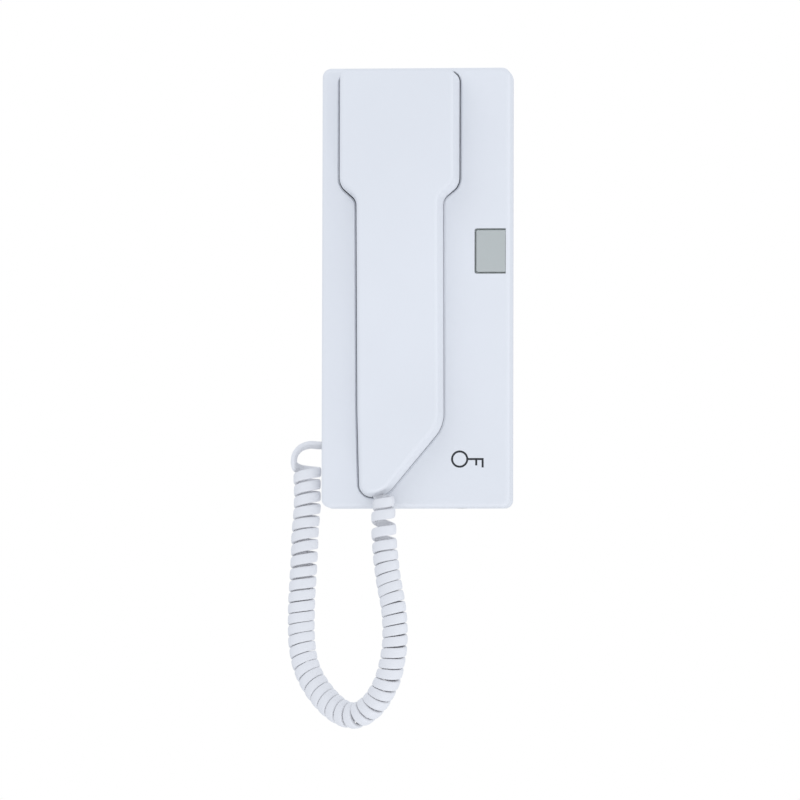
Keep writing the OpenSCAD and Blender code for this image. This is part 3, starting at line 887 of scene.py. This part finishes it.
def make_cord():
    line = cord_line()
    places = [p for p, _, _ in line]
    sides, squareness = 20, 0.62
    rows = []
    for i, (place, wide, half) in enumerate(line):
        tangent = (places[min(i + 1, len(places) - 1)] - places[max(i - 1, 0)]).normalized()
        thin = tangent.cross(wide).normalized()
        across = thin.cross(tangent)
        ring = []
        for k in range(sides):
            a = 2 * math.pi * k / sides
            c, s = math.cos(a), math.sin(a)
            u = half * math.copysign(abs(c) ** squareness, c)
            v = CORD_THICK / 2 * math.copysign(abs(s) ** squareness, s)
            ring.append(place + u * across + v * thin)
        rows.append(ring)
    cord = stack("curly_cord", rows, one_face)
    for polygon in cord.data.polygons:
        polygon.use_smooth = True
    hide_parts("cord_lead_base", "cord_coil", "cord_lead_handset")
    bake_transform(cord)
    return cord


cord = make_cord()
cover = make_front_cover()
hook = make_cradle_hook()
front_shell = make_front_shell()
rear_shell = make_rear_shell()
button = make_button()
button_spring = make_button_spring()
mark = make_mark()


# ---- Clear plugs ----


def make_plug(name, node, body):
    """A modular plug: a bevelled clear block."""
    low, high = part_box(node)
    plug = box(
        name,
        (low.x / MM, low.z / MM, -high.y / MM),
        (high.x / MM, high.z / MM, -low.y / MM),
    )
    bevel = plug.modifiers.new("bevel", "BEVEL")
    bevel.width = 0.35 * MM
    bevel.segments = 3
    apply_modifiers(plug)
    smooth_mesh(plug)
    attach(plug, body)
    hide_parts(node)
    return plug


base_plug = make_plug("plug_base", "base_plug", "base")
handset_plug = make_plug("plug_handset", "handset_plug", "handset")


# ---- Materials ----


class Shader:
    """A small helper for node materials."""

    def __init__(self, name):
        self.material = bpy.data.materials.new(name)
        self.material.use_nodes = True
        self.tree = self.material.node_tree
        self.main = self.tree.nodes["Principled BSDF"]
        self.place = self.node("ShaderNodeTexCoord").outputs["Object"]

    def node(self, kind, **values):
        made = self.tree.nodes.new(kind)
        for key, value in values.items():
            if hasattr(made, key):
                setattr(made, key, value)
            else:
                made.inputs[key.replace("_", " ")].default_value = value
        return made

    def link(self, a, b):
        self.tree.links.new(a, b)

    def noise(self, scale, detail=2.0, rough=0.5, stretch=None):
        made = self.node("ShaderNodeTexNoise", Scale=scale, Detail=detail, Roughness=rough)
        if stretch:
            mapping = self.node("ShaderNodeMapping")
            mapping.inputs["Scale"].default_value = stretch
            self.link(self.place, mapping.inputs["Vector"])
            self.link(mapping.outputs["Vector"], made.inputs["Vector"])
        else:
            self.link(self.place, made.inputs["Vector"])
        return made.outputs["Fac"]

    def span(self, source, low, high, from_low=0.3, from_high=0.7):
        made = self.node("ShaderNodeMapRange")
        made.inputs["From Min"].default_value = from_low
        made.inputs["From Max"].default_value = from_high
        made.inputs["To Min"].default_value = low
        made.inputs["To Max"].default_value = high
        self.link(source, made.inputs["Value"])
        return made.outputs["Result"]

    def ramp(self, source, stops):
        made = self.node("ShaderNodeValToRGB")
        elements = made.color_ramp.elements
        while len(elements) < len(stops):
            elements.new(0.5)
        for element, (at, colour) in zip(elements, stops):
            element.position = at
            element.color = (*colour, 1.0)
        self.link(source, made.inputs["Fac"])
        return made.outputs["Color"]

    def colour(self, source):
        self.link(source, self.main.inputs["Base Color"])

    def roughness(self, source):
        self.link(source, self.main.inputs["Roughness"])

    def bump(self, heights, distance, strength=1.0):
        """Bump from one or more height textures, each as deep as distance in metres."""
        normal = None
        for height in heights:
            made = self.node("ShaderNodeBump", Strength=strength, Distance=distance)
            self.link(height, made.inputs["Height"])
            if normal:
                self.link(normal, made.inputs["Normal"])
            normal = made.outputs["Normal"]
        self.link(normal, self.main.inputs["Normal"])

    def set(self, **values):
        for key, value in values.items():
            self.main.inputs[key.replace("_", " ")].default_value = value


def moulded(name, colour, rough, grain=1600.0, depth=0.00002, spread=0.02, **sockets):
    """Moulded plastic: faint flow shading, fine texture and a slightly uneven gloss."""
    shader = Shader(name)
    cloudy = shader.noise(9.0, 3.0, 0.55)
    dark = tuple(c * (1 - spread) for c in colour)
    light = tuple(min(1.0, c * (1 + spread)) for c in colour)
    shader.colour(shader.ramp(cloudy, [(0.32, dark), (0.68, light)]))
    fine = shader.noise(grain, 2.0, 0.6)
    patch = shader.noise(55.0, 4.0, 0.6)
    shader.roughness(shader.span(patch, rough - 0.035, rough + 0.05))
    shader.bump([fine, shader.noise(grain / 3.5, 2.0, 0.5)], depth, 0.35)
    shader.set(**sockets)
    return shader.material


def metal(name, colour, rough, grain=(1, 1, 1)):
    """Metal with a fine grain, finer along an axis with a larger number."""
    shader = Shader(name)
    streak = shader.noise(900.0, 3.0, 0.6, grain)
    shader.colour(
        shader.ramp(streak, [(0.35, tuple(c * 0.86 for c in colour)), (0.65, colour)])
    )
    shader.roughness(shader.span(streak, rough - 0.06, rough + 0.08))
    shader.bump([streak], 0.00001, 0.4)
    shader.set(Metallic=1.0)
    return shader.material


def circuit_board():
    """Green solder mask with paler lines."""
    shader = Shader("solder_mask")
    trace = shader.node("ShaderNodeTexBrick", Scale=260.0)
    trace.offset, trace.squash = 0.5, 1.0
    trace.inputs["Mortar Size"].default_value = 0.03
    trace.inputs["Color1"].default_value = (0.012, 0.085, 0.035, 1)
    trace.inputs["Color2"].default_value = (0.014, 0.095, 0.04, 1)
    trace.inputs["Mortar"].default_value = (0.03, 0.17, 0.075, 1)
    mapping = shader.node("ShaderNodeMapping")
    mapping.inputs["Rotation"].default_value = (math.pi / 2, 0, 0)
    shader.link(shader.place, mapping.inputs["Vector"])
    shader.link(mapping.outputs["Vector"], trace.inputs["Vector"])
    shader.colour(trace.outputs["Color"])
    shader.roughness(shader.span(shader.noise(400.0), 0.3, 0.42))
    shader.bump([trace.outputs["Fac"]], 0.00003, 0.5)
    return shader.material


def milky_clear():
    shader = Shader("milky_clear")
    cloud = shader.noise(140.0, 3.0)
    shader.colour(shader.ramp(cloud, [(0.3, (0.8, 0.82, 0.84)), (0.7, (0.88, 0.9, 0.92))]))
    shader.roughness(shader.span(cloud, 0.08, 0.16))
    shader.bump([shader.noise(900.0)], 0.00001, 0.2)
    shader.set(Transmission_Weight=0.75, IOR=1.5)
    return shader.material


def insulation():
    """Wires of several colours, by where they lie from left to right."""
    shader = Shader("wire_insulation")
    axes = shader.node("ShaderNodeSeparateXYZ")
    shader.link(shader.place, axes.inputs["Vector"])
    made = shader.node("ShaderNodeMath", operation="MULTIPLY")
    made.inputs[1].default_value = 250.0
    shader.link(axes.outputs["X"], made.inputs[0])
    part = shader.node("ShaderNodeMath", operation="FRACT")
    shader.link(made.outputs[0], part.inputs[0])
    shader.colour(
        shader.ramp(
            part.outputs[0],
            [
                (0.0, (0.55, 0.05, 0.03)),
                (0.3, (0.7, 0.5, 0.05)),
                (0.6, (0.05, 0.25, 0.08)),
                (0.9, (0.04, 0.04, 0.05)),
            ],
        )
    )
    shader.roughness(shader.span(shader.noise(700.0), 0.32, 0.45))
    shader.bump([shader.noise(1500.0)], 0.00001, 0.3)
    return shader.material


white_gloss = moulded(
    "white_abs", (0.865, 0.875, 0.895), 0.4, Coat_Weight=0.12, Coat_Roughness=0.2
)
white_matt = moulded("white_housing", (0.77, 0.777, 0.8), 0.5, 1100.0, 0.00005)
cord_white = moulded("cord_jacket", (0.87, 0.866, 0.874), 0.42, 900.0, 0.00004, 0.025)
button_grey = moulded("button_grey", (0.53, 0.556, 0.532), 0.4, 1400.0, 0.00003)
print_black = moulded("print_ink", (0.018, 0.02, 0.024), 0.45, 2400.0, 0.00001, 0.2)
ivory = moulded("acetal", (0.78, 0.76, 0.68), 0.38)
black_plastic = moulded("black_moulding", (0.02, 0.02, 0.022), 0.45, 1200.0, 0.00004, 0.25)
rubber = moulded("black_rubber", (0.014, 0.014, 0.015), 0.7, 800.0, 0.00006, 0.3)
terminal_green = moulded("terminal_green", (0.05, 0.3, 0.12), 0.42)
sleeve = moulded("can_sleeve", (0.015, 0.02, 0.09), 0.25, 1500.0, 0.00001, 0.15)
lacquer = moulded("resistor_lacquer", (0.5, 0.36, 0.2), 0.35, 1500.0, 0.00003, 0.12)
steel = metal("zinc_plated_steel", (0.62, 0.63, 0.65), 0.3, (1, 1, 6))
aluminium = metal("pressed_can", (0.72, 0.72, 0.73), 0.28)
iron = metal("ballast_plate", (0.34, 0.35, 0.37), 0.45, (6, 1, 1))
board = circuit_board()
clear = milky_clear()
wires = insulation()

# The CAD nodes that are shown as they are, by their material
NODE_LOOKS = {
    white_matt: ["rear_housing"],
    steel: ["cover_screw", "board_screws", "terminal_screws", "hook_spring", "handset_screws"],
    board: ["main_board"],
    terminal_green: ["terminal_block"],
    black_plastic: [
        "hook_switch", "door_switch", "call_buzzer", "speech_chip", "base_jack", "handset_jack",
    ],
    sleeve: ["capacitors"],
    lacquer: ["resistors"],
    wires: ["jack_wires", "handset_wires"],
    ivory: ["hook_plunger", "door_switch_plunger"],
    aluminium: ["receiver_capsule", "microphone_capsule"],
    rubber: ["receiver_gasket", "microphone_boot"],
    iron: ["handset_weight"],
}


def dress(obj, material):
    """Gives the whole of an object one material."""
    obj.data.materials.clear()
    obj.data.materials.append(material)
    for polygon in obj.data.polygons:
        polygon.material_index = 0


for material, names in NODE_LOOKS.items():
    for name in names:
        dress(frame["nodes"][name], material)
for obj, material in [
    (cord, cord_white),
    (cover, white_gloss),
    (hook, white_gloss),
    (front_shell, white_gloss),
    (rear_shell, white_gloss),
    (button, button_grey),
    (button_spring, steel),
    (mark, print_black),
    (base_plug, clear),
    (handset_plug, clear),
]:
    dress(obj, material)


# ---- Floor and light ----


def make_floor():
    """A large pale disc, well below the phone."""
    points, faces = [(0.0, 0.0, 0.0)], []
    rings, steps, radius, level = 12, 96, 9.0, -1.8
    for j in range(1, rings + 1):
        for k in range(steps):
            a = 2 * math.pi * k / steps
            r = radius * j / rings
            points.append((r * math.cos(a), r * math.sin(a), 0.0))
    for k in range(steps):
        faces.append((0, 1 + k, 1 + (k + 1) % steps))
    for j in range(rings - 1):
        for k in range(steps):
            n = (k + 1) % steps
            a, b = 1 + j * steps, 1 + (j + 1) * steps
            faces.append((a + k, b + k, b + n, a + n))
    mesh = bpy.data.meshes.new("floor")
    mesh.from_pydata(points, [], faces)
    floor = bpy.data.objects.new("floor", mesh)
    floor.location = (0, 0, level)
    scene.collection.objects.link(floor)
    shader = Shader("pale_floor")
    soft = shader.noise(3.0, 4.0)
    shader.colour(shader.ramp(soft, [(0.3, (0.86, 0.86, 0.865)), (0.7, (0.9, 0.9, 0.905))]))
    shader.roughness(shader.span(soft, 0.7, 0.8))
    mesh.materials.append(shader.material)


def area_light(name, place, size, power, colour):
    data = bpy.data.lights.new(name, "AREA")
    data.shape = "DISK"
    data.size = size
    data.energy = power
    data.color = colour
    light = bpy.data.objects.new(name, data)
    light.location = place
    aim = Vector((-0.01, -0.02, -0.05))
    light.rotation_euler = (Vector(place) - aim).to_track_quat("Z", "Y").to_euler()
    scene.collection.objects.link(light)


def make_world():
    """White to the camera, and a soft cool dome for the light."""
    made = bpy.data.worlds.new("studio")
    scene.world = made
    made.use_nodes = True
    tree = made.node_tree
    nodes, links = tree.nodes, tree.links
    dome = nodes["Background"]
    dome.inputs["Color"].default_value = (0.912, 0.96, 1.045, 1)
    dome.inputs["Strength"].default_value = 0.785
    seen = nodes.new("ShaderNodeBackground")
    seen.inputs["Color"].default_value = (1, 1, 1, 1)
    seen.inputs["Strength"].default_value = 1.0
    path = nodes.new("ShaderNodeLightPath")
    mix = nodes.new("ShaderNodeMixShader")
    links.new(path.outputs["Is Camera Ray"], mix.inputs["Fac"])
    links.new(dome.outputs["Background"], mix.inputs[1])
    links.new(seen.outputs["Background"], mix.inputs[2])
    links.new(mix.outputs["Shader"], nodes["World Output"].inputs["Surface"])


make_floor()
make_world()
area_light("key", (-0.85, -1.35, 1.15), 1.8, 6.0, (0.965, 0.98, 1.02))
area_light("fill", (2.1, -0.25, 0.25), 1.6, 6.0, (0.965, 0.98, 1.01))
area_light("low", (0.35, -0.75, -1.55), 1.2, 6.0, (0.965, 0.98, 1.01))
scene.cycles.max_bounces = 16
scene.cycles.diffuse_bounces = 10
scene.view_settings.view_transform = "Standard"
scene.view_settings.look = "None"
